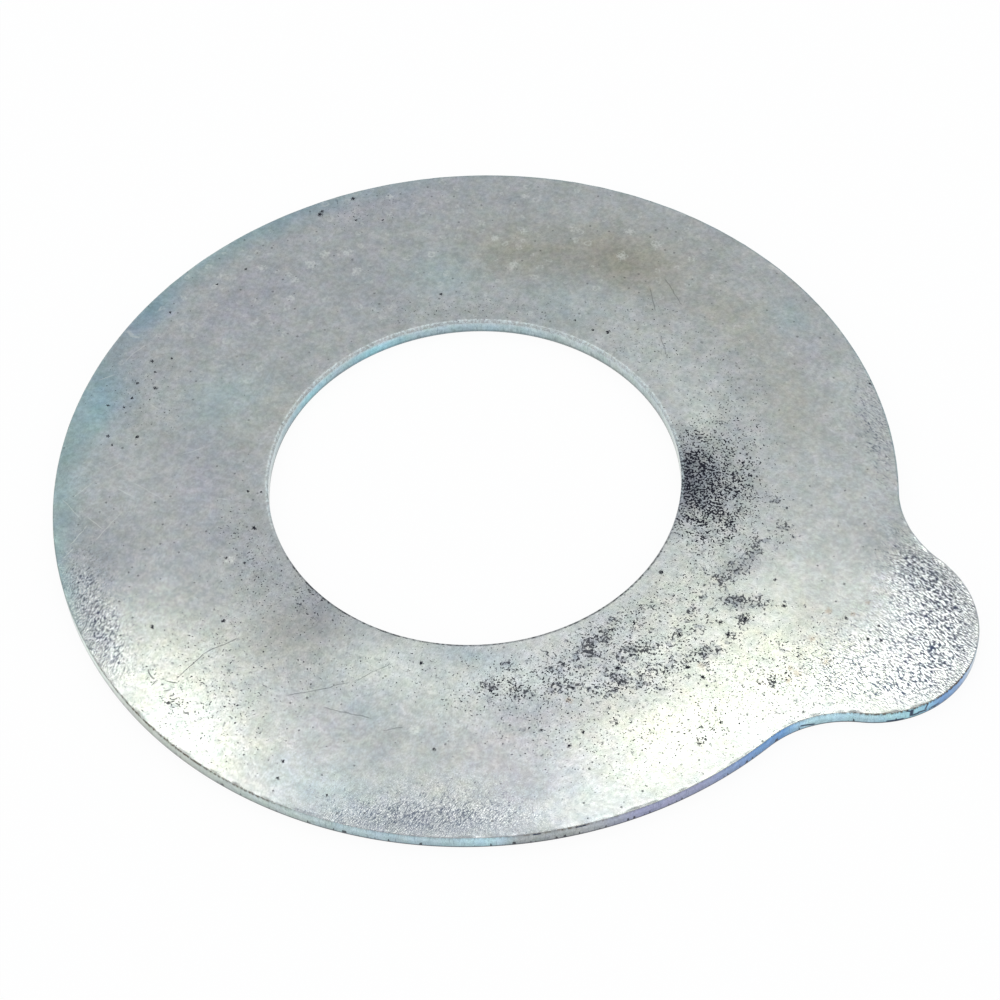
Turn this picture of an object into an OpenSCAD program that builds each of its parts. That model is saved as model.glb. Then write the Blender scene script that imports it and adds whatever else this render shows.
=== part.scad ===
// Flat steel washer with one rounded ear, blanked from sheet and zinc plated.
// The bore's axis is Z, the underside lies on Z = 0 and the ear points along +X.

/* [Ring] */
// Outside diameter of the ring
outer_d = 100; // [84:1:160]
// Diameter of the bore
bore_d = 49; // [20:1:70]
// Thickness of the sheet
sheet_t = 2; // [1:0.1:6]

/* [Ear] */
// Radius of the ear's rounded end
ear_r = 12.5; // [8:0.5:18]
// How far the ear's centre lies outside the rim, where a negative value is inside
ear_offset = 0; // [-3:0.5:5]
// Radius of the two hollow curves that lead the rim into the ear
hollow_r = 13; // [6:0.5:20]

/* [Blanked edges] */
// Radius rolled onto the corner where the blank entered the die or the punch entered the hole
roll_r = 0.25; // [0.1:0.05:0.4]
// Width of the break left on the opposite corner, where the burr was taken off
break_w = 0.08; // [0.04:0.01:0.15]

/* [Hidden] */
$fn = 120;

zinc_grey = "#b4b8ba";
outer_r = outer_d / 2;
bore_r = bore_d / 2;
ear_x = outer_r + ear_offset;

// A hollow's centre, where a circle of its radius touches both the rim and the ear, to the nearest 0.001
touch_x = (pow(outer_r + hollow_r, 2) - pow(ear_r + hollow_r, 2) + pow(ear_x, 2)) / (2 * ear_x);
touch_y = sqrt(pow(outer_r + hollow_r, 2) - pow(touch_x, 2));
hollow_x = round(1000 * touch_x) / 1000;
hollow_y = round(1000 * touch_y) / 1000;

// The radii with which the three curves touch exactly there, within 0.001 of the ones asked for
hollow_cut_r = norm([hollow_x, hollow_y]) - outer_r;
ear_cut_r = norm([hollow_x - ear_x, hollow_y]) - hollow_cut_r;

// Width of the band along the outline that is turned together with its edge
band_w = 0.4 * min(outer_r - bore_r, hollow_y - hollow_r, ear_r);
// How far the flat sheet behind it reaches into that band
lap = band_w / 2;
// How far the waste reaches past the sheet
slack = 1;

// What a blanked edge lacks from a square one: the edge is at X = 0, the sheet is on its left,
// the rolled corner is below and the broken corner above
module edge_waste() {
    translate([-roll_r, -slack]) difference() {
        square([roll_r + slack, roll_r + slack]);
        translate([0, roll_r + slack]) circle(roll_r, $fn = 32);
    }
    polygon([
        [-break_w - slack, sheet_t + slack],
        [slack, sheet_t - break_w - slack],
        [slack, sheet_t + slack]
    ]);
}

// Section of a band of sheet on the left of X = 0, with a blanked edge there
module edge_band_section() {
    difference() {
        translate([-band_w, 0]) square([band_w, sheet_t]);
        edge_waste();
    }
}

// Turns a section about Z at a radius, placed in a coarse and a fine step so that curves meet exactly
module turned_at(r) {
    rotate_extrude() translate([round(r), 0]) translate([r - round(r), 0]) children();
}

// The dart between the centres of the ring, the hollows and the ear, whose sides cross the tangent points
module dart() {
    polygon([[0, 0], [hollow_x, -hollow_y], [ear_x, 0], [hollow_x, hollow_y]]);
}

// The same as a block, for cutting
module dart_block() {
    translate([0, 0, -slack]) linear_extrude(sheet_t + 2 * slack) dart();
}

// The rim, all round but for the ear's side
module rim_edge() {
    difference() {
        turned_at(outer_r) edge_band_section();
        dart_block();
    }
}

// The ear's rounded end, outside the tangent points
module ear_edge() {
    difference() {
        translate([ear_x, 0, 0]) turned_at(ear_cut_r) edge_band_section();
        dart_block();
    }
}

// The hollow curve on the +Y side, between the tangent points
module hollow_edge() {
    intersection() {
        translate([hollow_x, hollow_y, 0])
            turned_at(hollow_cut_r) mirror([1, 0]) edge_band_section();
        dart_block();
    }
}

// The bore's edge, which is pierced the other way up and so is rolled on top
module bore_edge() {
    turned_at(bore_r) difference() {
        square([outer_r - bore_r - band_w + lap, sheet_t]);
        translate([0, sheet_t]) rotate(180) edge_waste();
    }
}

// Flat sheet behind the edges of the ear and the hollows
module ear_web() {
    linear_extrude(sheet_t) difference() {
        union() {
            dart();
            translate([ear_x, 0]) circle(ear_r - lap);
        }
        circle(outer_r - band_w);
        for (side = [-1, 1])
            translate([hollow_x, side * hollow_y]) circle(hollow_r + lap);
    }
}

// The whole blank, which is one piece of sheet
module washer() {
    color(zinc_grey) union() {
        rim_edge();
        hollow_edge();
        mirror([0, 1, 0]) hollow_edge();
        ear_edge();
        ear_web();
        bore_edge();
    }
}

washer();
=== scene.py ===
"""A zinc-plated washer with one ear: its blanked sheet, its plating, and the studio it is shown in."""

import logging
import math
from collections.abc import Iterator
from dataclasses import dataclass, field
from enum import Enum, IntEnum
from functools import reduce
from typing import Union

import bpy
import numpy as np
from mathutils import Matrix, Quaternion, Vector


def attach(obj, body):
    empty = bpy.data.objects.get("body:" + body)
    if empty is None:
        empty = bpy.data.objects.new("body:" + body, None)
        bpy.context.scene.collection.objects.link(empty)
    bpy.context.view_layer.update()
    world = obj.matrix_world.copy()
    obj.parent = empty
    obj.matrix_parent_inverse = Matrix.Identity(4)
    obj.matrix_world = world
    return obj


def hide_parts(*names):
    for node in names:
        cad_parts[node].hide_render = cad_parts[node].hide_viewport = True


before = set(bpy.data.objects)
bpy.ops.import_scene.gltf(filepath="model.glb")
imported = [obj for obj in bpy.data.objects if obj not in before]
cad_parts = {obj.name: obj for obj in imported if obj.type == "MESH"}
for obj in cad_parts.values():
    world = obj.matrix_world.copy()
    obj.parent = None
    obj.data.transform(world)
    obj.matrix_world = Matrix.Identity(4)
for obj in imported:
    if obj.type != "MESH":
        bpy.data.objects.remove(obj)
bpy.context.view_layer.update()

log = logging.getLogger("washer")
Array = np.ndarray
MM = 0.001


# Numbers


def smooth(low: float, high: float, value: Array) -> Array:
    """Blends from 0 at low to 1 at high with the cubic 3t^2 - 2t^3.

    Args:
        low: Where the blend starts.
        high: Where it ends, which may be below low.
        value: The numbers to blend.

    Returns:
        The blend, from 0 to 1.
    """
    t = np.clip((value - low) / (high - low), 0.0, 1.0)
    return t * t * (3.0 - 2.0 * t)


def lattice_noise(points: Array, cell: float, seed: int) -> Array:
    """Noise from hashed values at a cubic lattice's corners, blended between the eight around a point.

    Args:
        points: Places in metres, one to a row.
        cell: The lattice's spacing in metres.
        seed: Picks the pattern.

    Returns:
        One value to a point, from -1 to 1.
    """
    scaled = points / cell + 100.0
    corner = np.floor(scaled).astype(np.int64)
    t = scaled - corner
    t = t * t * (3.0 - 2.0 * t)
    total = np.zeros(len(points))
    for step in np.ndindex(2, 2, 2):
        x, y, z = (corner + step).T
        mixed = (x * 73856093 ^ y * 19349663 ^ z * 83492791 ^ seed * 2654435761) & 0xFFFFFFFF
        mixed = ((mixed ^ (mixed >> 15)) * 2246822519) & 0xFFFFFFFF
        mixed = ((mixed ^ (mixed >> 13)) * 3266489917) & 0xFFFFFFFF
        value = ((mixed ^ (mixed >> 16)) & 0xFFFFFF) / float(0x7FFFFF) - 1.0
        total += value * np.prod(np.where(step, t, 1.0 - t), axis=1)
    return total


def layered_noise(points: Array, cell: float, seed: int, layers: int = 3) -> Array:
    """Sum of lattice noises, each with half the cell and half the strength of the one before.

    Args:
        points: Places in metres, one to a row.
        cell: The widest lattice's spacing in metres.
        seed: Picks the pattern.
        layers: How many noises are added.

    Returns:
        One value to a point, about -1 to 1.
    """
    parts = [lattice_noise(points, cell / 2**k, seed + k) / 2**k for k in range(layers)]
    return np.sum(parts, axis=0) / (2.0 - 2.0 ** (1 - layers))


# The picture


@dataclass(frozen=True)
class PictureCamera:
    """The camera at the picture's viewpoint, and the ways between its picture and the washer."""

    azimuth: float = 28.8645
    elevation: float = 51.7147
    roll: float = -2.8459
    distance: float = 0.32765
    focal_px: float = 2750.3
    middle_px: tuple[float, float] = (-24.951, 14.524)
    side_px: float = 1000.0
    sensor_mm: float = 36.0

    def axes(self) -> Array:
        """Turns the camera by its azimuth and elevation, then rolls it about its own back direction.

        Returns:
            The camera's right, up and back directions as rows.
        """
        a, e, r = (math.radians(v) for v in (self.azimuth, self.elevation, self.roll))
        back = np.array([math.sin(a) * math.cos(e), -math.cos(a) * math.cos(e), math.sin(e)])
        level = np.array([math.cos(a), math.sin(a), 0.0])
        right = math.cos(r) * level + math.sin(r) * np.cross(back, level)
        return np.array([right, np.cross(back, right), back])

    def place(self) -> Array:
        """Steps back from the origin by the distance, and aside by the picture's offset at that distance.

        Returns:
            The camera's place in metres.
        """
        right, up, back = self.axes()
        shift = self.distance / self.focal_px
        return back * self.distance - right * self.middle_px[0] * shift - up * self.middle_px[1] * shift

    def to_picture(self, points: Array) -> Array:
        """Projects places onto the picture.

        Args:
            points: Places in metres, one to a row.

        Returns:
            Picture points in pixels from the upper left corner, one to a row.
        """
        seen = (points - self.place()) @ self.axes().T
        flat = self.focal_px * seen[:, :2] / -seen[:, 2:]
        return np.stack([self.side_px / 2 + flat[:, 0], self.side_px / 2 - flat[:, 1]], axis=1)

    def on_level(self, spots: Array, level: float) -> Array:
        """Finds the places at one height that picture points show.

        Args:
            spots: Picture points in pixels, one to a row.
            level: The height in metres.

        Returns:
            Places in metres, one to a row.
        """
        half = self.side_px / 2
        seen = np.column_stack([spots[:, 0] - half, half - spots[:, 1], np.full(len(spots), -self.focal_px)])
        ray = seen @ self.axes()
        stand = self.place()
        return stand + ray * ((level - stand[2]) / ray[:, 2:])

    def along(self, points: Array, angle: Array) -> Array:
        """Finds which way a direction in the picture runs on the level sheet, from a pixel either side.

        Args:
            points: Places in metres, one to a row.
            angle: Each direction's angle in the picture, in degrees clockwise from the right.

        Returns:
            Unit directions, one to a row.
        """
        picture = self.to_picture(points)
        step = np.stack([np.cos(np.radians(angle)), np.sin(np.radians(angle))], axis=1)
        way = self.on_level(picture + step, 0.0) - self.on_level(picture - step, 0.0)
        return way / np.linalg.norm(way, axis=1, keepdims=True)

    def build(self) -> None:
        """Makes the scene's camera."""
        data = bpy.data.cameras.new("picture_camera")
        data.sensor_width = self.sensor_mm
        data.lens = self.sensor_mm * self.focal_px / self.side_px
        data.clip_start, data.clip_end = 0.01, 20.0
        camera = bpy.data.objects.new("picture_camera", data)
        turned = Matrix(self.axes().T.tolist()).to_4x4()
        camera.matrix_world = Matrix.Translation(Vector(self.place())) @ turned
        bpy.context.scene.collection.objects.link(camera)
        bpy.context.scene.camera = camera


# What the years left on the plating, and the light painted on it


class Tone(Enum):
    """The tints that zinc plating takes on, with painted highlight warmth and painted shade among them, as
    factors on its red, green and blue.
    """

    STEEL_BLUE = (0.76, 0.92, 1.03)
    TEAL = (0.82, 1.03, 1.05)
    CYAN = (0.93, 1.04, 1.05)
    UMBER = (0.88, 0.85, 0.79)
    LILAC = (1.00, 0.97, 1.04)
    OLIVE = (1.01, 0.98, 0.90)
    ROSE = (1.05, 0.98, 0.96)
    CREAM = (1.09, 1.08, 0.99)
    RIM = (0.70, 0.86, 0.89)
    SMOKE = (0.34, 0.35, 0.44)
    GREY = (0.80, 0.80, 0.84)
    LAVENDER = (0.78, 0.81, 0.90)
    PALE = (1.20, 1.21, 1.18)

    def over(self, colour: Array, share: Array) -> Array:
        """Lays the tone on colours, one to a row: a share of 1 multiplies a colour by the whole tone."""
        return colour * (1.0 + share[:, None] * (np.array(self.value) - 1.0))


class EdgeTone(Enum):
    """The colours of the cut edges, as red, green and blue light."""

    SAGE = (0.40, 0.45, 0.40)
    PALE_SAGE = (0.57, 0.68, 0.62)
    MIST = (0.43, 0.51, 0.50)
    PEWTER = (0.34, 0.37, 0.38)
    HAZE = (0.37, 0.49, 0.54)
    SKY = (0.41, 0.61, 0.69)
    AQUA = (0.33, 0.60, 0.68)
    VIOLET = (0.30, 0.32, 0.47)
    BLUE = (0.12, 0.28, 0.55)


class Border(Enum):
    """Soft borders between kinds of wear and painted light: the picture's axis they cross, and their start
    and end on it.
    """

    FILM_LEFT = (0, 620, 360)
    FILM_FAR = (1, 640, 500)
    BRINK_DARK = (0, 260, 520)
    BRINK_PALE = (0, 300, 200)
    BRINK_FAR = (1, 560, 440)
    # These borders place the crystal grain, with its painted glints and painted shade.
    CRYSTALS_NEAR = (1, 560, 700)
    ETCHED_EAR = (0, 620, 850)
    ETCHED_LEFT = (0, 300, 160)
    ETCHED_FRONT = (1, 740, 800)
    COARSE_EAR = (0, 620, 820)
    COARSE_FRONT = (0, 700, 600)
    GLINT_NEAR = (1, 570, 690)
    GLINT_EAR = (0, 925, 965)
    LEAN_TURNS = (0, 450, 900)
    GRAINED_NEAR = (1, 400, 640)
    BLISTERED_FAR = (1, 470, 340)

    def share(self, picture: Array) -> Array:
        """Gives how far each picture point lies across the border, from 0 to 1."""
        axis, start, end = self.value
        return smooth(start, end, picture[:, axis])


@dataclass(frozen=True)
class Patch:
    """A soft oval on the top face: middle and half sizes in the picture's pixels, turn and amount."""

    x: float
    y: float
    wide: float
    high: float
    turn: float
    amount: float

    def share(self, picture: Array) -> Array:
        """Gives how much of the patch lies on each picture point: exp(-d^2), with d in half sizes.

        Args:
            picture: Picture points in pixels, one to a row.

        Returns:
            One value to a point, from 0 to the patch's amount.
        """
        c, s = math.cos(math.radians(self.turn)), math.sin(math.radians(self.turn))
        x, y = (picture - (self.x, self.y)).T
        along, across = (c * x + s * y) / self.wide, (c * y - s * x) / self.high
        return self.amount * np.exp(-(along**2 + across**2))


class Side(IntEnum):
    """The parts of the sheet's skin, in the order the section passes them."""

    BORE = 0
    LIP = 1
    TOP = 2
    WALL = 3
    UNDER = 4


@dataclass(frozen=True)
class Spot:
    """A small round mark on the top face: its middle and radius in pixels of the picture."""

    x: float
    y: float
    radius: float


@dataclass(frozen=True)
class Stroke:
    """A straight mark between two points of the picture, its half width in millimetres."""

    start: tuple[float, float]
    end: tuple[float, float]
    wide: float


Stops = dict[EdgeTone, tuple[tuple[float, float], ...]]

TINTS: dict[Tone, tuple[Patch, ...]] = {
    Tone.UMBER: (
        Patch(575, 255, 110, 28, 6, 1.0), Patch(640, 280, 50, 20, 20, 0.7), Patch(285, 635, 50, 34, 0, 0.9),
        Patch(255, 755, 34, 40, 20, 0.8),
    ),
    # Some of these grey patches are painted shade, dimming the lamps' highlight where it spreads too far
    # across the front; the rest are the plating's greyer tone.
    Tone.GREY: (
        Patch(360, 280, 30, 34, 0, 0.5), Patch(205, 545, 34, 50, -10, 0.7), Patch(125, 565, 46, 40, 0, 0.7),
        Patch(850, 548, 44, 44, 0, 0.9), Patch(836, 612, 56, 30, 0, 0.6), Patch(655, 694, 44, 20, -20, 0.6),
        Patch(525, 782, 46, 26, 0, 1.0), Patch(300, 780, 30, 24, 0, 0.5), Patch(560, 684, 90, 22, -4, 0.1),
        Patch(610, 640, 90, 26, -24, 0.5), Patch(600, 672, 40, 26, 0, 0.4), Patch(555, 712, 60, 24, 0, 0.9),
        Patch(320, 605, 34, 34, 40, 1.0), Patch(265, 560, 24, 50, -20, 0.6),
        Patch(100, 560, 34, 50, 0, 0.7), Patch(540, 735, 60, 60, 0, 1.0), Patch(590, 770, 50, 30, -20, 0.6),
        Patch(600, 262, 60, 24, 0, 0.4), Patch(820, 625, 40, 40, 0, 0.5), Patch(500, 200, 30, 10, 0, 0.5),
        Patch(225, 315, 60, 20, -35, 0.25), Patch(625, 702, 40, 14, -10, 0.35),
        Patch(200, 600, 24, 30, 0, 0.4),
    ),
    Tone.PALE: (
        Patch(388, 668, 56, 28, 0, 1.1), Patch(470, 690, 70, 22, 0, 0.9), Patch(420, 712, 60, 24, 0, 0.5),
        Patch(700, 420, 16, 26, 0, 0.8), Patch(640, 345, 60, 40, 40, 0.7),
        Patch(705, 400, 30, 50, -30, 0.6), Patch(380, 655, 50, 20, 0, 0.7), Patch(540, 678, 40, 16, 0, 0.5),
        Patch(590, 802, 50, 18, -15, 0.5), Patch(380, 780, 60, 14, 0, 0.3), Patch(702, 432, 22, 22, 0, 0.6),
        Patch(850, 385, 18, 34, 0, 0.62), Patch(650, 362, 30, 22, 30, 0.35),
        Patch(100, 420, 20, 20, 0, 0.35), Patch(350, 198, 30, 10, -10, 0.4),
        Patch(706, 376, 24, 5, 39, 0.4), Patch(735, 405, 24, 5, 52, 0.4), Patch(757, 443, 28, 5, 68, 0.4),
        Patch(705, 565, 26, 36, 0, 0.45), Patch(880, 665, 44, 26, 0, 0.3), Patch(525, 676, 30, 12, 0, 0.35),
        Patch(702, 520, 24, 22, 0, 0.45),
    ),
    Tone.TEAL: (
        Patch(70, 450, 22, 110, 8, 0.6), Patch(62, 590, 12, 60, -12, 0.8), Patch(97, 412, 14, 30, 10, 0.8),
    ),
    Tone.STEEL_BLUE: (
        Patch(154, 310, 34, 15, -40, 1.0), Patch(112, 395, 22, 34, 20, 0.9),
        Patch(290, 212, 60, 14, -20, 0.7), Patch(360, 708, 26, 10, 25, 0.35),
        Patch(478, 657, 40, 10, 10, 0.4),
    ),
    Tone.CYAN: (
        Patch(215, 247, 70, 16, -32, 1.1), Patch(225, 400, 44, 26, -20, 1.0),
        Patch(445, 275, 40, 22, 0, 0.9), Patch(790, 318, 18, 14, 30, 0.9), Patch(560, 300, 40, 30, 0, 0.5),
        Patch(330, 790, 60, 26, 12, 0.6),
    ),
    Tone.LILAC: (
        Patch(250, 300, 60, 30, -30, 0.8), Patch(130, 340, 24, 30, 20, 0.7),
        Patch(390, 200, 90, 18, -8, 0.9), Patch(200, 485, 34, 34, 0, 0.7), Patch(806, 352, 20, 20, 30, 0.7),
        Patch(340, 715, 30, 30, 0, 0.5),
    ),
    Tone.OLIVE: (
        Patch(512, 255, 36, 24, 0, 1.0), Patch(630, 254, 60, 24, 14, 1.1), Patch(735, 322, 40, 26, 40, 1.0),
        Patch(790, 400, 30, 50, -10, 0.8), Patch(270, 415, 36, 20, -30, 0.7),
        Patch(610, 720, 60, 36, 0, 0.8),
    ),
    Tone.ROSE: (
        Patch(500, 750, 46, 26, 0, 0.6),
    ),
    # Painted highlight warmth: cream laid over the zones where the softboxes' highlights fall.
    Tone.CREAM: (
        Patch(690, 720, 110, 60, -30, 1.1), Patch(790, 640, 80, 60, 0, 1.0),
        Patch(880, 680, 60, 30, 0, 1.0), Patch(830, 560, 60, 60, 0, 0.5), Patch(170, 670, 70, 70, 30, 1.0),
        Patch(220, 770, 40, 30, 30, 0.6), Patch(680, 605, 60, 40, -30, 0.7), Patch(432, 790, 14, 9, 0, 0.6),
        Patch(462, 800, 9, 14, 0, 0.6), Patch(370, 799, 8, 6, 0, 0.7), Patch(330, 706, 9, 7, 0, 0.5),
        Patch(347, 699, 8, 6, 0, 0.5),
    ),
    Tone.SMOKE: (
        Patch(672, 486, 20, 28, 0, 0.9), Patch(692, 480, 26, 30, 0, 0.52), Patch(700, 440, 26, 22, 0, 0.1),
        Patch(740, 566, 28, 10, -20, 0.45), Patch(738, 604, 24, 9, 0, 0.45),
        Patch(704, 653, 16, 8, 0, 0.35),
    ),
    Tone.LAVENDER: (
        Patch(420, 822, 140, 22, 0, 0.8), Patch(290, 638, 50, 24, 0, 0.28), Patch(262, 768, 26, 20, 0, 0.5),
        Patch(200, 450, 30, 20, 0, 0.35),
    ),
}

STAIN: tuple[Patch, ...] = (
    Patch(690, 480, 32, 40, 0, 0.92), Patch(722, 488, 38, 52, 0, 0.48), Patch(705, 530, 40, 28, 0, 0.33),
    Patch(748, 478, 20, 50, 0, 0.26), Patch(700, 432, 30, 16, 0, 0.16), Patch(690, 560, 44, 34, -30, 0.16),
    Patch(640, 612, 76, 18, -30, 0.32), Patch(610, 650, 100, 28, -14, 0.22),
    Patch(560, 685, 80, 18, -4, 0.22), Patch(500, 685, 40, 18, -20, 0.26),
    Patch(680, 665, 60, 26, -20, 0.26), Patch(320, 592, 34, 34, 40, 0.36), Patch(720, 395, 46, 60, 0, 0.18),
    Patch(650, 340, 50, 40, 0, 0.14), Patch(690, 735, 110, 44, -20, 0.2), Patch(560, 725, 90, 40, 0, 0.22),
    Patch(400, 665, 100, 30, 0, 0.18), Patch(140, 390, 50, 60, -30, 0.12),
    Patch(360, 210, 50, 20, -10, 0.16), Patch(810, 670, 90, 50, 0, 0.3), Patch(200, 700, 80, 70, 30, 0.28),
    Patch(250, 560, 30, 60, -20, 0.24), Patch(480, 310, 120, 16, 0, 0.16),
)

SPECKLE: tuple[Patch, ...] = (
    Patch(600, 668, 120, 34, -10, 0.13), Patch(700, 600, 80, 50, -30, 0.15),
    Patch(740, 690, 90, 40, -20, 0.13), Patch(820, 650, 60, 50, 0, 0.1), Patch(742, 562, 30, 9, -20, 0.58),
    Patch(728, 580, 18, 8, -20, 0.56), Patch(738, 603, 22, 8, 0, 0.6), Patch(754, 545, 12, 9, -40, 0.56),
    Patch(780, 501, 12, 6, 0, 0.6), Patch(784, 530, 10, 13, 20, 0.6), Patch(704, 652, 14, 7, -10, 0.8),
    Patch(731, 637, 5, 6, 0, 0.64), Patch(772, 681, 8, 7, 0, 0.68), Patch(762, 602, 10, 9, 0, 0.48),
    Patch(742, 620, 7, 8, 0, 0.72), Patch(700, 606, 26, 12, -25, 0.3), Patch(690, 628, 24, 8, -20, 0.4),
    Patch(640, 650, 24, 9, -15, 0.68), Patch(664, 667, 20, 7, -10, 0.68), Patch(640, 684, 22, 8, 0, 0.48),
    Patch(566, 686, 20, 12, 0, 0.52), Patch(556, 668, 14, 9, -10, 0.48), Patch(521, 693, 14, 6, 0, 0.64),
    Patch(490, 688, 12, 9, 30, 0.6), Patch(508, 664, 10, 6, -40, 0.6), Patch(604, 692, 16, 6, 0, 0.72),
    Patch(616, 672, 14, 10, 0, 0.68), Patch(588, 655, 20, 8, -20, 0.48), Patch(590, 640, 26, 9, -20, 0.48),
    Patch(624, 618, 34, 8, -32, 0.48), Patch(308, 590, 8, 4, 0, 0.64), Patch(298, 608, 6, 7, 40, 0.56),
    Patch(322, 580, 20, 10, 50, 0.4), Patch(706, 735, 16, 10, 0, 0.48), Patch(172, 706, 14, 10, 30, 0.48),
)

# Where the crystal grain lies, with painted glints and painted shade laid on it.
CRYSTAL_GLINTS_AND_SHADE: tuple[Patch, ...] = (
    Patch(84, 604, 42, 74, -16, 0.8), Patch(110, 660, 30, 40, -30, 0.5), Patch(420, 822, 160, 20, 0, 0.8),
    Patch(430, 786, 150, 34, 0, 0.45), Patch(950, 606, 48, 66, 0, 0.88), Patch(908, 575, 28, 40, 0, 0.6),
    Patch(900, 655, 60, 40, 0, 0.5), Patch(935, 672, 40, 24, -30, 0.4), Patch(850, 680, 70, 30, 0, 0.4),
    Patch(915, 690, 40, 16, -20, 0.4), Patch(855, 650, 60, 40, 0, 0.25), Patch(880, 420, 22, 80, -15, 0.5),
    Patch(690, 760, 80, 20, -20, 0.2),
)

BURR: tuple[Patch, ...] = (
    Patch(962, 679, 16, 20, 0, 0.75), Patch(170, 735, 80, 60, 40, 0.85), Patch(255, 795, 30, 20, 0, 0.5),
    Patch(560, 825, 50, 20, 0, 0.6), Patch(905, 700, 70, 36, -20, 0.85),
)

SPOTS: dict[str, tuple[Spot, ...]] = {
    "pits": (
        Spot(353, 198, 2.6), Spot(356, 220, 1.6), Spot(320, 214, 3.2), Spot(870, 383, 2.0),
        Spot(254, 528, 2.8), Spot(261, 492, 1.8), Spot(248, 491, 1.6), Spot(226, 558, 2.0),
        Spot(244, 563, 1.8), Spot(223, 621, 2.2), Spot(152, 627, 2.2), Spot(421, 663, 2.4),
        Spot(784, 606, 2.4), Spot(846, 618, 2.4), Spot(868, 639, 2.0), Spot(881, 640, 1.8),
        Spot(879, 626, 1.8), Spot(608, 332, 2.6), Spot(593, 330, 1.6), Spot(575, 320, 1.8),
        Spot(441, 294, 1.8), Spot(448, 322, 1.6), Spot(500, 321, 1.6), Spot(246, 269, 1.8),
        Spot(217, 284, 1.6), Spot(170, 312, 1.8), Spot(155, 388, 2.6), Spot(108, 405, 1.8),
        Spot(283, 761, 1.8), Spot(278, 778, 1.8), Spot(327, 795, 1.6), Spot(661, 572, 2.8),
        Spot(745, 619, 4.0), Spot(720, 622, 2.6), Spot(688, 667, 2.6), Spot(703, 677, 2.2),
        Spot(721, 722, 2.2), Spot(700, 743, 2.2), Spot(583, 732, 2.0), Spot(569, 746, 2.2),
        Spot(542, 730, 1.8), Spot(434, 749, 1.8), Spot(618, 668, 3.0), Spot(680, 635, 3.2),
        Spot(617, 723, 2.2), Spot(137, 383, 2.0), Spot(132, 398, 1.8), Spot(124, 407, 1.8),
        Spot(108, 436, 2.2), Spot(137, 437, 2.2), Spot(112, 445, 1.8), Spot(172, 358, 1.6),
        Spot(155, 372, 1.6), Spot(322, 211, 2.2), Spot(383, 220, 1.6), Spot(775, 580, 2.0),
        Spot(315, 590, 2.6), Spot(340, 610, 1.8), Spot(728, 634, 2.6), Spot(152, 361, 2.4),
    ),
    "blooms": (
        Spot(829, 611, 4.5), Spot(853, 614, 3.0), Spot(812, 639, 3.5), Spot(826, 662, 4.5),
        Spot(797, 673, 4.0), Spot(788, 680, 3.5), Spot(868, 602, 3.0), Spot(701, 665, 4.0),
        Spot(569, 700, 4.0), Spot(790, 668, 3.0),
    ),
    "blisters": (
        Spot(310, 265, 6), Spot(325, 254, 5), Spot(357, 271, 5), Spot(348, 252, 4.5), Spot(262, 268, 4),
        Spot(431, 254, 4), Spot(495, 238, 4), Spot(513, 265, 5), Spot(523, 230, 4), Spot(291, 298, 4),
        Spot(574, 229, 4), Spot(622, 256, 5), Spot(629, 231, 4), Spot(657, 244, 5), Spot(692, 258, 4),
        Spot(525, 196, 4), Spot(390, 196, 4), Spot(415, 730, 5), Spot(295, 280, 4), Spot(230, 560, 4),
    ),
}

STROKES: dict[str, tuple[Side, tuple[Stroke, ...]]] = {
    "scratches": (
        Side.TOP,
        (
            Stroke((650, 287), (656, 312), 0.09), Stroke((664, 277), (683, 307), 0.08),
            Stroke((660, 335), (668, 360), 0.10), Stroke((200, 655), (240, 637), 0.09),
            Stroke((282, 697), (352, 682), 0.09), Stroke((352, 682), (395, 662), 0.09),
            Stroke((320, 707), (375, 719), 0.10), Stroke((148, 668), (154, 680), 0.12),
            Stroke((206, 652), (178, 677), 0.08), Stroke((166, 680), (178, 683), 0.10),
            Stroke((172, 699), (178, 698), 0.14), Stroke((176, 703), (181, 707), 0.14),
            Stroke((183, 712), (189, 714), 0.14), Stroke((382, 731), (404, 727), 0.10),
            Stroke((150, 685), (158, 680), 0.10), Stroke((163, 691), (171, 690), 0.10),
        ),
    ),
    "pale": (
        Side.TOP,
        (
            Stroke((132, 482), (164, 500), 0.08), Stroke((72, 498), (96, 480), 0.08),
            Stroke((94, 542), (122, 512), 0.07), Stroke((124, 362), (146, 344), 0.12),
            Stroke((126, 330), (140, 338), 0.28), Stroke((62, 498), (82, 520), 0.07),
            Stroke((116, 488), (134, 496), 0.09), Stroke((98, 380), (116, 374), 0.08),
            Stroke((70, 545), (88, 524), 0.08), Stroke((180, 455), (206, 447), 0.07),
            Stroke((216, 498), (228, 500), 0.09), Stroke((62, 560), (74, 548), 0.08),
            Stroke((86, 516), (104, 530), 0.07), Stroke((108, 470), (122, 462), 0.07),
            Stroke((150, 404), (160, 410), 0.10),
        ),
    ),
    "tears": (
        Side.WALL,
        (
            Stroke((905, 710), (913, 712), 0.20), Stroke((911, 709), (913, 718), 0.34),
            Stroke((911, 715), (920, 713), 0.24), Stroke((918, 713), (927, 709), 0.22),
            Stroke((925, 710), (929, 704), 0.18), Stroke((930, 708), (939, 703), 0.20),
            Stroke((884, 721), (906, 718), 0.20), Stroke((533, 835), (541, 834), 0.16),
            Stroke((574, 828), (588, 825), 0.18), Stroke((798, 726), (816, 724), 0.20),
        ),
    ),
}

WALL_STOPS: Stops = {
    EdgeTone.MIST: ((71, 429), (70, 612), (290, 812)),
    EdgeTone.PALE_SAGE: ((91, 656),),
    EdgeTone.SAGE: ((135, 714), (180, 752)),
    EdgeTone.HAZE: ((371, 835), (435, 842), (978, 655)),
    EdgeTone.SKY: ((490, 842), (808, 723), (874, 719)),
    EdgeTone.PEWTER: ((520, 841), (590, 829)),
    EdgeTone.VIOLET: ((640, 812), (700, 790)),
    EdgeTone.BLUE: ((760, 750), (783, 734), (942, 699), (960, 683)),
    EdgeTone.AQUA: ((915, 714),),
}

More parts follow.
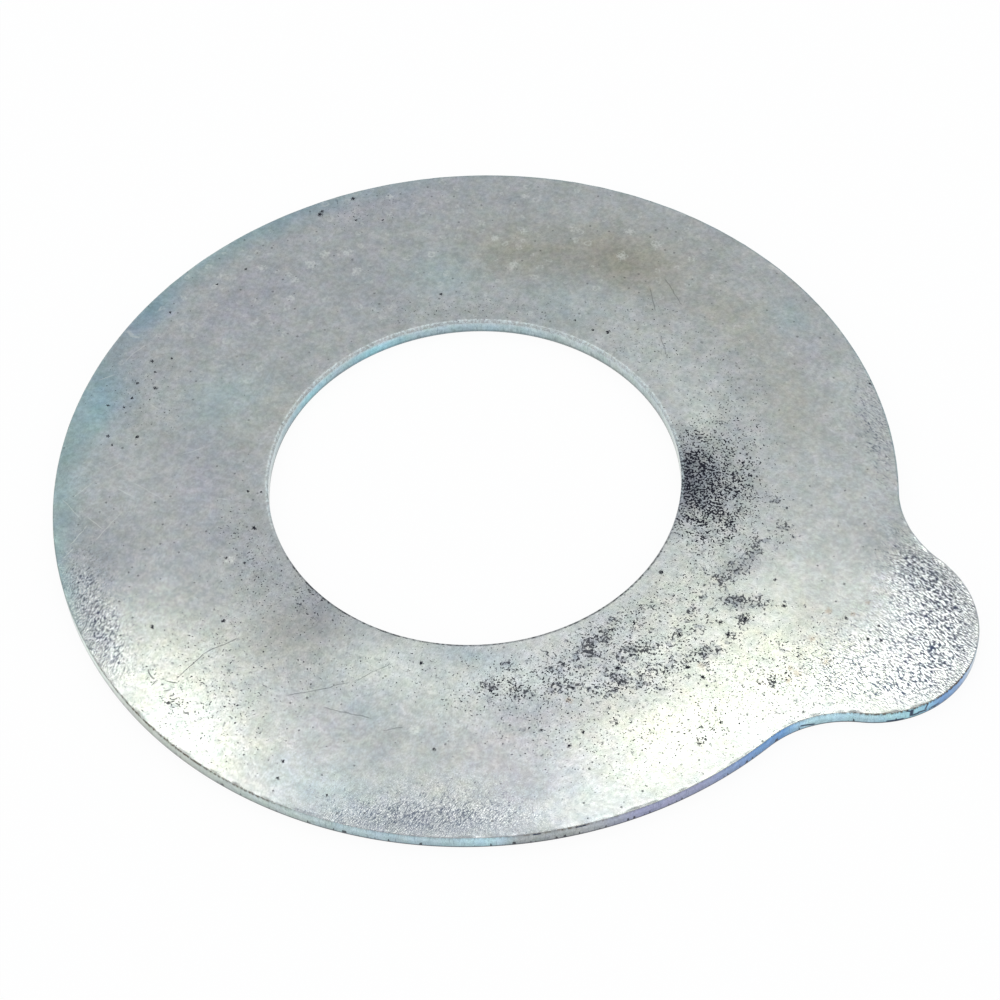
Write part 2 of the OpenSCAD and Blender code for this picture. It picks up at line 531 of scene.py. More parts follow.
BORE_STOPS: Stops = {
    EdgeTone.PALE_SAGE: ((684, 480),),
    EdgeTone.MIST: ((655, 405), (571, 343), (269, 489)),
    EdgeTone.HAZE: ((492, 327), (420, 334), (339, 370), (289, 424)),
    EdgeTone.AQUA: ((373, 351), (311, 395)),
}


# The sheet


@dataclass(frozen=True)
class Outline:
    """The washer's outline: the rim, the ear's round end and two hollows that join them smoothly."""

    rim_r: float = 50.0 * MM
    ear_x: float = 50.0 * MM
    ear_r: float = 12.5 * MM
    hollow_r: float = 13.0 * MM

    def arcs(self) -> list[tuple[float, float, float, float, float]]:
        """Lists the arcs in turn from the ear's tip, as centre x, centre y, radius, first and last angle.

        A hollow touches the rim and the ear, so its centre lies both radii away from each one's centre.

        Returns:
            The five arcs. An arc that turns clockwise is a hollow, so its sheet lies outside its circle.
        """
        to_rim, to_ear = self.rim_r + self.hollow_r, self.ear_r + self.hollow_r
        x = (to_rim**2 - to_ear**2 + self.ear_x**2) / (2 * self.ear_x)
        y = math.sqrt(to_rim**2 - x**2)
        away, aside = math.atan2(y, x), math.atan2(y, x - self.ear_x)
        half, full = math.pi, 2 * math.pi
        return [
            (self.ear_x, 0.0, self.ear_r, 0.0, aside),
            (x, y, self.hollow_r, half + aside, half + away),
            (0.0, 0.0, self.rim_r, away, full - away),
            (x, -y, self.hollow_r, half - away, half - aside),
            (self.ear_x, 0.0, self.ear_r, full - aside, full),
        ]

    def walk(self, columns: int) -> tuple[Array, Array]:
        """Walks the outline in even steps, turning each arc's share of the way into an angle on it.

        Args:
            columns: How many points to make.

        Returns:
            The points and the directions square to the outline, away from the sheet, one to a row.
        """
        arcs = self.arcs()
        lengths = np.array([r * abs(last - first) for _, _, r, first, last in arcs])
        ends = np.cumsum(lengths)
        way = (np.arange(columns) + 0.5) / columns * ends[-1]
        points, outward = np.zeros((columns, 2)), np.zeros((columns, 2))
        for (x, y, r, first, last), length, end in zip(arcs, lengths, ends):
            here = (way <= end) & (way > end - length)
            angle = first + (last - first) * (way[here] - end + length) / length
            spoke = np.stack([np.cos(angle), np.sin(angle)], axis=1)
            points[here] = (x, y) + r * spoke
            outward[here] = spoke * math.copysign(1.0, last - first)
        return points, outward


@dataclass
class Grid:
    """The sheet's vertices, one to a row, in rings that follow each other around its section."""

    columns: int
    place: Array
    rim_gap: Array
    bore_gap: Array
    side: Array
    level: Array

    def rings(self, side: Side) -> Array:
        """Returns the places on one side, as rings by columns by axes."""
        return self.place[self.side == side].reshape(-1, self.columns, 3)


@dataclass(frozen=True)
class Section:
    """The sheet cut across: rows run up the bore, over the top, down the outer wall and back underneath."""

    bore_r: float = 24.5 * MM
    thick: float = 2.0 * MM
    roll_r: float = 0.25 * MM
    worn_r: float = 0.25 * MM
    lip_h: float = 0.42 * MM
    break_w: float = 0.08 * MM
    margin: float = 1.5 * MM
    inner_gap: float = 1.2 * MM
    inner_mm: tuple[float, ...] = (0.38, 0.60, 0.88)
    outer_mm: tuple[float, ...] = (1.15, 0.85, 0.6, 0.4, 0.25, 0.15, 0.08)
    brink: float = 0.02 * MM
    under_gaps: tuple[float, float] = (0.6 * MM, 0.8 * MM)
    bend_rows: int = 6
    bore_rows: int = 7
    wall_rows: int = 9
    across_rows: int = 52
    under_rows: int = 9

    def rows(self) -> list[tuple[Side, float, float, float, float]]:
        """Lists the rows as side, share of the way from bore to outline, gap to either, and height.

        Returns:
            The rows in turn, from the bore's lower edge round to it again.
        """
        bend = np.linspace(0.0, math.pi / 2, self.bend_rows)[1:]
        top, roll, step, worn = self.thick, self.roll_r, self.break_w, self.worn_r
        lip = top - self.lip_h
        made = [(Side.BORE, 0.0, 0.0, 0.0, z) for z in np.linspace(step, lip, self.bore_rows)]
        made += [(Side.LIP, 0.0, 0.0, 0.0, z) for z in np.linspace(lip, top - worn, 3)[1:]]
        made += [(Side.LIP, 0.0, worn * (1 - math.cos(a)), 0.0, top - worn * (1 - math.sin(a))) for a in bend]
        made += [(Side.TOP, 0.0, gap * MM, 0.0, top) for gap in self.inner_mm]
        shares = np.linspace(0.0, 1.0, self.across_rows)
        made += [(Side.TOP, share, self.inner_gap, self.margin, top) for share in shares]
        made += [(Side.TOP, 1.0, 0.0, gap * MM, top) for gap in self.outer_mm]
        made += [(Side.WALL, 1.0, 0.0, self.brink, top - self.brink)]
        made += [(Side.WALL, 1.0, 0.0, 0.0, z) for z in np.linspace(top - step, roll, self.wall_rows)]
        made += [(Side.WALL, 1.0, 0.0, roll * (1 - math.cos(a)), roll * (1 - math.sin(a))) for a in bend]
        shares = np.linspace(1.0, 0.0, self.under_rows)
        made += [(Side.UNDER, share, *self.under_gaps, 0.0) for share in shares]
        return made + [(Side.UNDER, 0.0, step, 0.0, 0.0)]

    def grid(self, outline: Outline, columns: int) -> Grid:
        """Carries the section round the outline, along straight lines from the bore to the outline.

        Args:
            outline: The outline to follow.
            columns: How many columns go round.

        Returns:
            The grid of vertices.
        """
        edge, outward = outline.walk(columns)
        inner = edge - outward * self.margin
        spoke = inner / np.linalg.norm(inner, axis=1, keepdims=True)
        side, share, bore_gap, rim_gap, height = (np.array(c)[:, None] for c in zip(*self.rows()))
        near = spoke * (self.bore_r + bore_gap[..., None])
        far = edge - outward * rim_gap[..., None]
        flat = near + (far - near) * share[..., None]
        span = np.linalg.norm(far - near, axis=2)
        level = np.broadcast_to(height, span.shape)
        return Grid(
            columns,
            np.dstack([flat, level]).reshape(-1, 3),
            (rim_gap + (1.0 - share) * span).ravel(),
            (bore_gap + share * span).ravel(),
            np.broadcast_to(side, span.shape).ravel(),
            level.ravel(),
        )


@dataclass
class WearAndPaintedLight:
    """What the years left on the sheet, and the light painted on it, worked out for each vertex of its grid.
    """

    grid: Grid
    camera: PictureCamera
    section: Section
    film_ragged: float = 2.2 * MM
    film_cell: float = 5.0 * MM
    spot_reach: float = 0.95 * MM
    stroke_reach: float = 0.7 * MM
    land: float = 0.24
    seed: int = 20
    plating_grey: tuple[float, float, float] = (0.345, 0.372, 0.380)
    rolled_in: tuple[float, float, float] = (0.50, 0.58, 0.60)
    edge_lift: float = 1.06
    lip_lift: float = 1.20
    picture: Array = field(init=False)
    above: Array = field(init=False)

    def __post_init__(self) -> None:
        """Finds where the picture shows each vertex, and which vertices aren't underneath."""
        self.picture = self.camera.to_picture(self.grid.place)
        self.above = self.grid.side != Side.UNDER

    def cover(self, patches: tuple[Patch, ...]) -> Array:
        """Adds up soft patches over the upper skin, to 1 at most."""
        return np.clip(np.sum([p.share(self.picture) for p in patches], axis=0), 0.0, 1.0) * self.above

    def in_layers(self, marks: Iterator[tuple[Array, Array]], reach: float) -> list[Array]:
        """Puts marks in layers, each mark in the first layer where it shares no face with another.

        The way to a mark changes evenly from vertex to vertex, so the shader finds its exact edge between
        them. Vertices out of reach of a layer's marks lie nine units off.

        Args:
            marks: For each mark, the way to it from each vertex and how far outside it the vertex lies.
            reach: How far outside a mark its ways are kept.

        Returns:
            For each layer, one way to a vertex.
        """
        layers: list[Array] = []
        taken: list[Array] = []
        for way, outside in marks:
            near, k = outside < reach, 0
            while k < len(taken) and (taken[k] & (outside < 2 * reach)).any():
                k += 1
            if k == len(taken):
                taken.append(np.zeros(len(way), dtype=bool))
                layers.append(np.tile((0.0, 0.0, 9.0), (len(way), 1)))
            taken[k] |= near
            layers[k][near] = way[near]
        return layers

    def spot_ways(self, spots: tuple[Spot, ...]) -> Iterator[tuple[Array, Array]]:
        """Gives each vertex its offset from a spot's middle, in radii, and its distance from there.

        Args:
            spots: The round marks.

        Yields:
            The offsets and the distances, for one spot after another.
        """
        middles = self.camera.on_level(np.array([(s.x, s.y) for s in spots]), self.section.thick)
        scale = self.camera.distance / self.camera.focal_px
        for spot, middle in zip(spots, middles):
            offset = (self.grid.place - middle) * (1.0, 1.0, 0.0)
            away = np.linalg.norm(offset, axis=1)
            yield offset / (spot.radius * scale), np.where(self.grid.side == Side.TOP, away, np.inf)

    def ends_on(self, side: Side, strokes: tuple[Stroke, ...]) -> tuple[Array, Array]:
        """Finds the ends of strokes on the top or on the outer wall, and which way the skin faces there.

        Args:
            side: The top or the outer wall.
            strokes: The strokes in the picture.

        Returns:
            A start and an end to a stroke, and the skin's direction there.
        """
        spots = np.array([(s.start, s.end) for s in strokes], dtype=float).reshape(-1, 2)
        if side == Side.TOP:
            ends = self.camera.on_level(spots, self.section.thick)
            return ends.reshape(-1, 2, 3), np.tile((0.0, 0.0, 1.0), (len(strokes), 1))
        wall = self.grid.rings(side)
        ahead = np.roll(wall, -1, axis=1) - np.roll(wall, 1, axis=1)
        outward = np.cross(ahead, (0.0, 0.0, 1.0)).reshape(-1, 3)
        wall = wall.reshape(-1, 3)
        seen = np.linalg.norm(self.camera.to_picture(wall)[None] - spots[:, None], axis=2)
        seen[:, (wall[:, 1] > 0.0) | (wall[:, 2] < 0.3 * MM)] = np.inf
        near = np.argmin(seen, axis=1)
        return wall[near].reshape(-1, 2, 3), outward[near[::2]]

    def stroke_ways(self, side: Side, strokes: tuple[Stroke, ...]) -> Iterator[tuple[Array, Array]]:
        """Gives each vertex how far along and across a stroke it lies, in half lengths and half widths.

        Args:
            side: The top or the outer wall.
            strokes: The strokes in the picture.

        Yields:
            The ways and the distances outside the stroke, for one stroke after another.
        """
        for stroke, (start, end), outward in zip(strokes, *self.ends_on(side, strokes)):
            half, wide = np.linalg.norm(end - start) / 2, stroke.wide * MM
            way = (end - start) / (2 * half)
            across = np.cross(outward, way)
            offset = self.grid.place - (start + end) / 2
            along, aside = offset @ way, offset @ (across / np.linalg.norm(across))
            off = np.abs(offset @ (outward / np.linalg.norm(outward)))
            outside = np.maximum(np.abs(along) - half, np.abs(aside) - wide)
            local = (self.grid.side == side) & (off < MM)
            ways = np.column_stack([along / half, aside / wide, np.zeros(len(off))])
            yield ways, np.where(local, outside, np.inf)

    def edge_colours(self, side: Side, stops: Stops) -> Array:
        """Blends a cut edge's colour from stop to stop along its rings.

        Args:
            side: The bore or the outer wall.
            stops: The edge's tones, and where the picture shows each.

        Returns:
            Red, green and blue for each vertex of that side.
        """
        rings = self.grid.rings(side)
        line = rings[len(rings) // 2]
        spots = np.array([spot for seen in stops.values() for spot in seen])
        tones = np.array([tone.value for tone, seen in stops.items() for _ in seen])
        spots = self.camera.on_level(spots, self.section.thick / 2)
        at = np.array([np.argmin(np.linalg.norm(line[:, :2] - spot[:2], axis=1)) for spot in spots])
        order = np.argsort(at)
        columns = np.arange(len(line))
        round_it = [np.interp(columns, at[order], c, period=len(line)) for c in tones[order].T]
        return np.tile(np.stack(round_it, axis=1), (len(rings), 1))

    def tints(self) -> Array:
        """Works out the plating's colour: its grey times each patch's tone, by the patch's share there.

        The cut edges have their own colours instead, each shaded along the height as a punched edge is:
        a smooth land above, a darker torn band below it.

        Returns:
            Red, green, blue and 1 for each vertex.
        """
        grid, picture = self.grid, self.picture
        colour = np.tile(self.plating_grey, (len(picture), 1))
        for tone, patches in TINTS.items():
            for patch in patches:
                colour = tone.over(colour, patch.share(picture) * self.above)

        # The blue film at the far left rim, and the thin line along the far brink
        ragged = layered_noise(grid.place * (1.0, 1.0, 0.0), self.film_cell, self.seed, 4)
        film = 0.5 * smooth(3.6 * MM, 0.2 * MM, grid.rim_gap + self.film_ragged * ragged) * self.above
        film *= Border.FILM_LEFT.share(picture) * Border.FILM_FAR.share(picture)
        colour = Tone.RIM.over(colour, film)
        brink = 0.8 * smooth(0.30 * MM, 0.06 * MM, grid.rim_gap) * self.above
        brink *= Border.BRINK_FAR.share(picture)
        for tone, border in ((Tone.RIM, Border.BRINK_DARK), (Tone.PALE, Border.BRINK_PALE)):
            colour = tone.over(colour, brink * border.share(picture))

        for side, stops in ((Side.BORE, BORE_STOPS), (Side.WALL, WALL_STOPS)):
            mine = grid.side == side
            height = grid.level[mine][:, None] / self.section.thick
            land = 1.0 + self.land * (smooth(0.35, 0.75, height) - smooth(0.30, 0.15, height) - 0.5)
            edge = self.edge_colours(side, stops) * self.edge_lift * land
            rolled = 0.75 * smooth(0.50, 0.84, height) * (side == Side.BORE)
            colour[mine] = edge + (np.array(self.rolled_in) - edge) * rolled
        colour[grid.side == Side.LIP] *= self.lip_lift
        return np.column_stack([colour, np.ones(len(colour))])

    def edges(self) -> dict[str, Array]:
        """Works out the wear along the edges, and the painted light on the bore's lip and along the bottom of
        the walls.

        Returns:
            The bore's lip, above 0 on its far side where a painted sheen goes and below 0 on the side towards
            the camera where painted shade goes, the brown burr, the painted contact shadow along the bottom
            of the walls, and where the walls are.
        """
        grid = self.grid
        top, in_lip, wall, bore = (grid.side == s for s in (Side.TOP, Side.LIP, Side.WALL, Side.BORE))
        # The lip gets a painted sheen on its side away from the camera, carried a little onto the top face
        # beside it, and painted shade on its side towards the camera.
        back = self.camera.axes()[2][:2]
        facing = grid.place[:, :2] @ (back / np.linalg.norm(back)) / self.section.bore_r
        near_side = smooth(0.05, 0.60, facing)
        beside = 0.4 * smooth(0.60 * MM, 0.26 * MM, grid.bore_gap) * top
        brown = (0.25 + self.cover(BURR)) * (top | wall)
        brink = smooth(0.22 * MM, 0.04 * MM, grid.rim_gap) * smooth(1.66 * MM, 1.88 * MM, grid.level)
        return {
            "lip": (in_lip + beside) * (1.0 - near_side) - in_lip * near_side,
            "burr": brown * brink,
            # A painted contact shadow along the bottom of the walls, weaker in the bore.
            "foot": wall + 0.2 * bore,
            "wall": wall | bore,
        }

    def fields(self) -> dict[str, tuple[str, Array]]:
        """Works out every field that the plating reads.

        Returns:
            Each field's type and values by its name.
        """
        top = self.grid.side == Side.TOP
        at = {border: border.share(self.picture) for border in Border}
        left, front = at[Border.ETCHED_LEFT], at[Border.ETCHED_FRONT]
        at_rim = 0.35 * smooth(2.2 * MM, 0.3 * MM, self.grid.rim_gap) * at[Border.CRYSTALS_NEAR]
        glint = (0.58 + 0.22 * at[Border.GLINT_NEAR]) * (1.0 - 0.20 * left) + 0.20 * at[Border.GLINT_EAR]
        numbers = {
            "stain": self.cover(STAIN),
            "speckle": self.cover(SPECKLE),
            # The crystal grain's relief, and where painted glints and painted shade go on it; the next field
            # sets how dark that shade is, the glint field how bright the glints are.
            "crystals": np.maximum(self.cover(CRYSTAL_GLINTS_AND_SHADE), at_rim) * top,
            "etched": np.max([at[Border.ETCHED_EAR], left, 0.62 * front], axis=0),
            "glint": glint,
            "coarse": at[Border.COARSE_EAR] + 0.35 * left + 0.3 * front * at[Border.COARSE_FRONT],
            "face": top,
            "grained": 0.45 + 0.55 * at[Border.GRAINED_NEAR],
            "blistered": 0.60 * at[Border.BLISTERED_FAR],
        }
        made = {name: ("FLOAT", values) for name, values in (numbers | self.edges()).items()}
        # The way the grain's strokes run, which also lines up its painted glints and painted shade.
        lean = self.camera.along(self.grid.place, -50.0 + 85.0 * at[Border.LEAN_TURNS])
        made |= {"plating_tint": ("FLOAT_COLOR", self.tints()), "lean": ("FLOAT_VECTOR", lean)}
        marks: dict[str, list[Array]] = {}
        for name, spots in SPOTS.items():
            marks[name] = self.in_layers(self.spot_ways(spots), self.spot_reach)
        for name, (side, strokes) in STROKES.items():
            marks[name] = self.in_layers(self.stroke_ways(side, strokes), self.stroke_reach)
        for name, layers in marks.items():
            made |= {f"{name}_{k}": ("FLOAT_VECTOR", layer) for k, layer in enumerate(layers)}
        return made


@dataclass
class Washer:
    """The washer: one blanked sheet with rolled and ragged edges, and worn zinc plating."""

    outline: Outline
    section: Section
    camera: PictureCamera
    columns: int = 980
    droop: float = 0.10 * MM
    droop_w: float = 9.0 * MM
    wave: float = 0.035 * MM
    wave_cell: float = 22.0 * MM
    burr_h: float = 0.05 * MM
    burr_cell: float = 1.4 * MM
    seed: int = 11

    def shape(self) -> Grid:
        """Presses the wear into the grid.

        The top sinks by a droop that grows with the square of the way into the rim's band, and by long waves.
        The burr stands up from the sunk rim in ragged tips.

        Returns:
            The grid with its final places.
        """
        grid = self.section.grid(self.outline, self.columns)
        flat = grid.place * (1.0, 1.0, 0.0)
        waves = self.wave * (0.5 + 0.5 * layered_noise(flat, self.wave_cell, self.seed, 2))
        into = self.droop * np.clip(1.0 - grid.rim_gap / self.droop_w, 0.0, 1.0) ** 2
        ragged = layered_noise(flat, self.burr_cell, self.seed + 5, 3)
        burr = self.burr_h * np.clip(ragged + 0.15, 0.0, 1.0) * smooth(0.5 * MM, 0.05 * MM, grid.rim_gap)
        upper = smooth(0.2 * MM, 1.9 * MM, grid.level)
        height = grid.level + upper * (burr * (grid.side != Side.UNDER) - into - waves)
        grid.place[:, 2] = np.clip(height, 0.0, self.section.thick)
        return grid

    def build(self) -> bpy.types.Object:
        """Makes the mesh from the shaped grid, closing it both ways, and gives it its fields.

        Returns:
            The washer.
        """
        grid = self.shape()
        at = np.arange(len(grid.place)).reshape(-1, self.columns)
        corners = [at, np.roll(at, -1, 1), np.roll(at, (-1, -1), (0, 1)), np.roll(at, -1, 0)]
        faces = np.stack(corners, axis=2).reshape(-1, 4)
        mesh = bpy.data.meshes.new("washer_skin")
        mesh.from_pydata(grid.place, [], faces.tolist())
        mesh.polygons.foreach_set("use_smooth", np.ones(len(faces), dtype=bool))
        keys = {"FLOAT": "value", "FLOAT_VECTOR": "vector", "FLOAT_COLOR": "color"}
        for name, (kind, values) in WearAndPaintedLight(grid, self.camera, self.section).fields().items():
            attribute = mesh.attributes.new(name, kind, "POINT")
            attribute.data.foreach_set(keys[kind], values.astype(np.float32).ravel())
        mesh.validate()
        mesh.update()
        washer = bpy.data.objects.new("washer_sheet", mesh)
        bpy.context.scene.collection.objects.link(washer)
        return washer

    @staticmethod
    def dress(washer: bpy.types.Object) -> None:
        """Plates the washer and says which body it rides, which CAD piece it replaces.

        Args:
            washer: The washer with its fields.
        """
        fields = tuple(sorted(a.name for a in washer.data.attributes))
        washer.data.materials.append(ZincPlating(fields).build())
        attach(washer, "root")
        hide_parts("washer")


# Shader nodes

Value = Union["Wire", float, tuple[float, ...]]
Inputs = dict[Union[str, int], Value]


class NodeSketch:
    """Short ways to add and join shader nodes in one tree."""

    def __init__(self, tree: bpy.types.NodeTree) -> None:
        """Keeps the tree to draw in."""
        self.tree = tree

    def add(self, kind: str, inputs: Inputs | None = None, **settings: object) -> bpy.types.Node:
        """Adds a node, sets it up and joins its inputs.

        Args:
            kind: The node's type.
            inputs: A value or a wire for each named or numbered input.
            settings: The node's own settings.

        Returns:
            The node.
        """
        node = self.tree.nodes.new(kind)
        for name, value in settings.items():
            setattr(node, name, value)
        for name, value in (inputs or {}).items():
            if isinstance(value, Wire):
                self.tree.links.new(value.socket, node.inputs[name])
            else:
                node.inputs[name].default_value = value
        return node

    def wires(self, kind: str, inputs: Inputs | None = None, **settings: object) -> dict[str, "Wire"]:
        """Adds a node and returns its outputs by name."""
        return {o.name: Wire(self, o) for o in self.add(kind, inputs, **settings).outputs}

    def wire(self, kind: str, inputs: Inputs | None = None, output: int = 0, **settings: object) -> "Wire":
        """Adds a node and returns one of its outputs."""
        return Wire(self, self.add(kind, inputs, **settings).outputs[output])

    def math(self, operation: str, *values: Value) -> "Wire":
        """Adds a Math node."""
        return self.wire("ShaderNodeMath", dict(enumerate(values)), operation=operation)

    def vector(self, operation: str, *values: Value, scale: Value = 1.0) -> "Wire":
        """Adds a Vector Math node, whose result is a number for a length."""
        inputs = dict(enumerate(values)) | {3: scale}
        return self.wire("ShaderNodeVectorMath", inputs, int(operation == "LENGTH"), operation=operation)

    def tint(self, share: Value, under: Value, over: Value) -> "Wire":
        """Mixes the upper colour into the lower one by its share."""
        return self.wire("ShaderNodeMix", {0: share, 6: under, 7: over}, 2, data_type="RGBA")

    def attribute(self, name: str) -> "Wire":
        """Reads a field of numbers."""
        return self.wires("ShaderNodeAttribute", attribute_name=name)["Fac"]

    def noise(
        self, at: Value, cell: Value, detail: float = 2.0, rough: float = 0.5, output: int = 0
    ) -> "Wire":
        """Adds a Noise Texture whose lumps are about one cell wide.

        Args:
            at: The coordinates.
            cell: The lumps' size in metres.
            detail: How many finer noises are added.
            rough: How strong those are.
            output: 0 for the value and 1 for the colour.

        Returns:
            The noise, from 0 to 1.
        """
        inputs = {"Vector": at, "Scale": 1.0 / cell, "Detail": detail, "Roughness": rough}
        return self.wire("ShaderNodeTexNoise", inputs, output)


class Wire:
    """A value on its way between nodes, on which plain arithmetic adds Math nodes."""

    def __init__(self, sketch: NodeSketch, socket: bpy.types.NodeSocket) -> None:
        """Keeps the sketch that it runs in and the socket that it comes from."""
        self.sketch = sketch
        self.socket = socket

    def __add__(self, other: Value) -> "Wire":
        """Returns the sum."""
        return self.sketch.math("ADD", self, other)

    def __sub__(self, other: Value) -> "Wire":
        """Returns the difference."""
        return self.sketch.math("SUBTRACT", self, other)

    def __rsub__(self, other: Value) -> "Wire":
        """Returns a number less this value."""
        return self.sketch.math("SUBTRACT", other, self)

    def __mul__(self, other: Value) -> "Wire":
        """Returns the product."""
        return self.sketch.math("MULTIPLY", self, other)

    def __truediv__(self, other: Value) -> "Wire":
        """Returns the quotient."""
        return self.sketch.math("DIVIDE", self, other)

    def __rtruediv__(self, other: Value) -> "Wire":
        """Returns a number over this value."""
        return self.sketch.math("DIVIDE", other, self)

    def __abs__(self) -> "Wire":
        """Returns the value without its sign."""
        return self.sketch.math("ABSOLUTE", self)

    def most(self, other: Value) -> "Wire":
        """Returns the greater of two values."""
        return self.sketch.math("MAXIMUM", self, other)

    def least(self, other: Value) -> "Wire":
        """Returns the smaller of two values."""
        return self.sketch.math("MINIMUM", self, other)

    def ramp(self, low: float, high: float, start: float = 0.0, end: float = 1.0) -> "Wire":
        """Maps low to start and high to end, with a smooth step between them."""
        inputs = {0: self, 1: low, 2: high, 3: start, 4: end}
        return self.sketch.wire("ShaderNodeMapRange", inputs, interpolation_type="SMOOTHSTEP")


class Effect(NodeSketch):
    """A shared shader effect: a node group with named inputs and outputs."""

    def __init__(self, name: str, inputs: dict[str, str], outputs: tuple[str, ...]) -> None:
        """Starts the group.

        Args:
            name: The group's name.
            inputs: Each input's name and its socket's type, shortened.
            outputs: The outputs' names, which are all numbers.
        """
        super().__init__(bpy.data.node_groups.new(name, "ShaderNodeTree"))
        for label, kind in inputs.items():
            self.tree.interface.new_socket(label, in_out="INPUT", socket_type="NodeSocket" + kind)
        for label in outputs:
            self.tree.interface.new_socket(label, in_out="OUTPUT", socket_type="NodeSocketFloat")
        self.given = self.wires("NodeGroupInput")

    def give(self, **outputs: Wire) -> bpy.types.NodeTree:
        """Joins the group's outputs and returns the group."""
        self.add("NodeGroupOutput", outputs)
        return self.tree


def grain_group() -> bpy.types.NodeTree:
    """Builds crystal grain: lumps as height, and strokes along a lean, the mean of three shifted lumps.

    Returns:
        The group.
    """
    inputs = {"Vector": "Vector", "Lean": "Vector", "Cell": "Float"}
    effect = Effect("plating_grain", inputs, ("Height", "Strokes"))
    at, lean, cell = (effect.given[k] for k in inputs)
    step = effect.vector("SCALE", lean, scale=cell * 0.90)
    places = (at, effect.vector("ADD", at, step), effect.vector("SUBTRACT", at, step))
    here, ahead, behind = (effect.noise(place, cell, 1.0) for place in places)
    return effect.give(Height=here, Strokes=(here + ahead + behind - 1.5) * 4.4)


def corrosion_group() -> bpy.types.NodeTree:
    """Builds corrosion: specks cut from a noise, worm lines along another's middle, and smudges around.

    Returns:
        The group.
    """
    inputs = {"Vector": "Vector", "Density": "Float", "Cell": "Float", "Curls": "Float"}
    effect = Effect("corrosion", inputs, ("Marks", "Smudges"))
    at, density, cell, curls = (effect.given[k] for k in inputs)

    def lumps(widths: float, detail: float) -> Wire:
        """Adds a noise with lumps that many cells wide."""
        return effect.noise(at, cell * widths, detail)

    density = density * lumps(5.0, 2.0).ramp(0.35, 0.65, 0.75, 1.25)

    def above(value: Wire, sparse: float, dense: float, edge: float) -> Wire:
        """Cuts a noise off at a level that the density lowers, with a soft edge."""
        level = effect.wire("ShaderNodeMapRange", {0: density, 3: sparse, 4: dense})
        return (value - level).ramp(-edge, edge)

    region = lumps(3.0, 2.0)
    worms = abs(lumps(1.7, 0.0) - 0.5).ramp(0.072, 0.038) * above(region, 0.72, 0.40, 0.02)
    worms = worms * lumps(1.5, 1.0).ramp(0.44, 0.50) * curls
    there = density.ramp(0.02, 0.10)
    marks = above(lumps(1.0, 1.0), 0.745, 0.47, 0.02).most(worms) * there
    return effect.give(Marks=marks, Smudges=above(region, 0.74, 0.42, 0.08) * there)


def fleck_group() -> bpy.types.NodeTree:
    """Builds flecks: dots and broken rings in some cells of a flat Voronoi pattern, each with its own size.

    Returns:
        The group.
    """
    inputs = {"Vector": "Vector", "Cell": "Float", "Share": "Float", "Radius": "Float"}
    effect = Effect("flecks", inputs, ("Dots", "Rings"))
    at, cell, share, radius = (effect.given[k] for k in inputs)
    pattern = {"Vector": at, "Scale": 1.0 / cell}
    cells = effect.wires("ShaderNodeTexVoronoi", pattern, voronoi_dimensions="2D")
    random = effect.wires("ShaderNodeSeparateColor", {0: cells["Color"]})
    away = cells["Distance"] * cell / (radius * (random["Green"] + 0.45))
    there = effect.math("LESS_THAN", random["Red"], share)
    return effect.give(Dots=away.ramp(1.1, 0.6) * there, Rings=abs(away - 0.8).ramp(0.5, 0.05) * there)


def stroke_group() -> bpy.types.NodeTree:
    """Builds a stroke: the band within a half width of its line, fading towards its ends.

    Returns:
        The group.
    """
    inputs = {"Way": "Vector", "Wobble": "Vector"}
    effect = Effect("stroke", inputs, ("Mask",))
    way, wobble = (effect.given[k] for k in inputs)
    gap = effect.vector("LENGTH", effect.vector("MULTIPLY_ADD", way, (0.0, 1.0, 1.0), wobble))
    along = effect.wire("ShaderNodeSeparateXYZ", {0: way})
    return effect.give(Mask=gap.ramp(1.0, 0.3) * (along * along).ramp(1.0, 0.5))


# The plating

Colour = tuple[float, float, float, float]


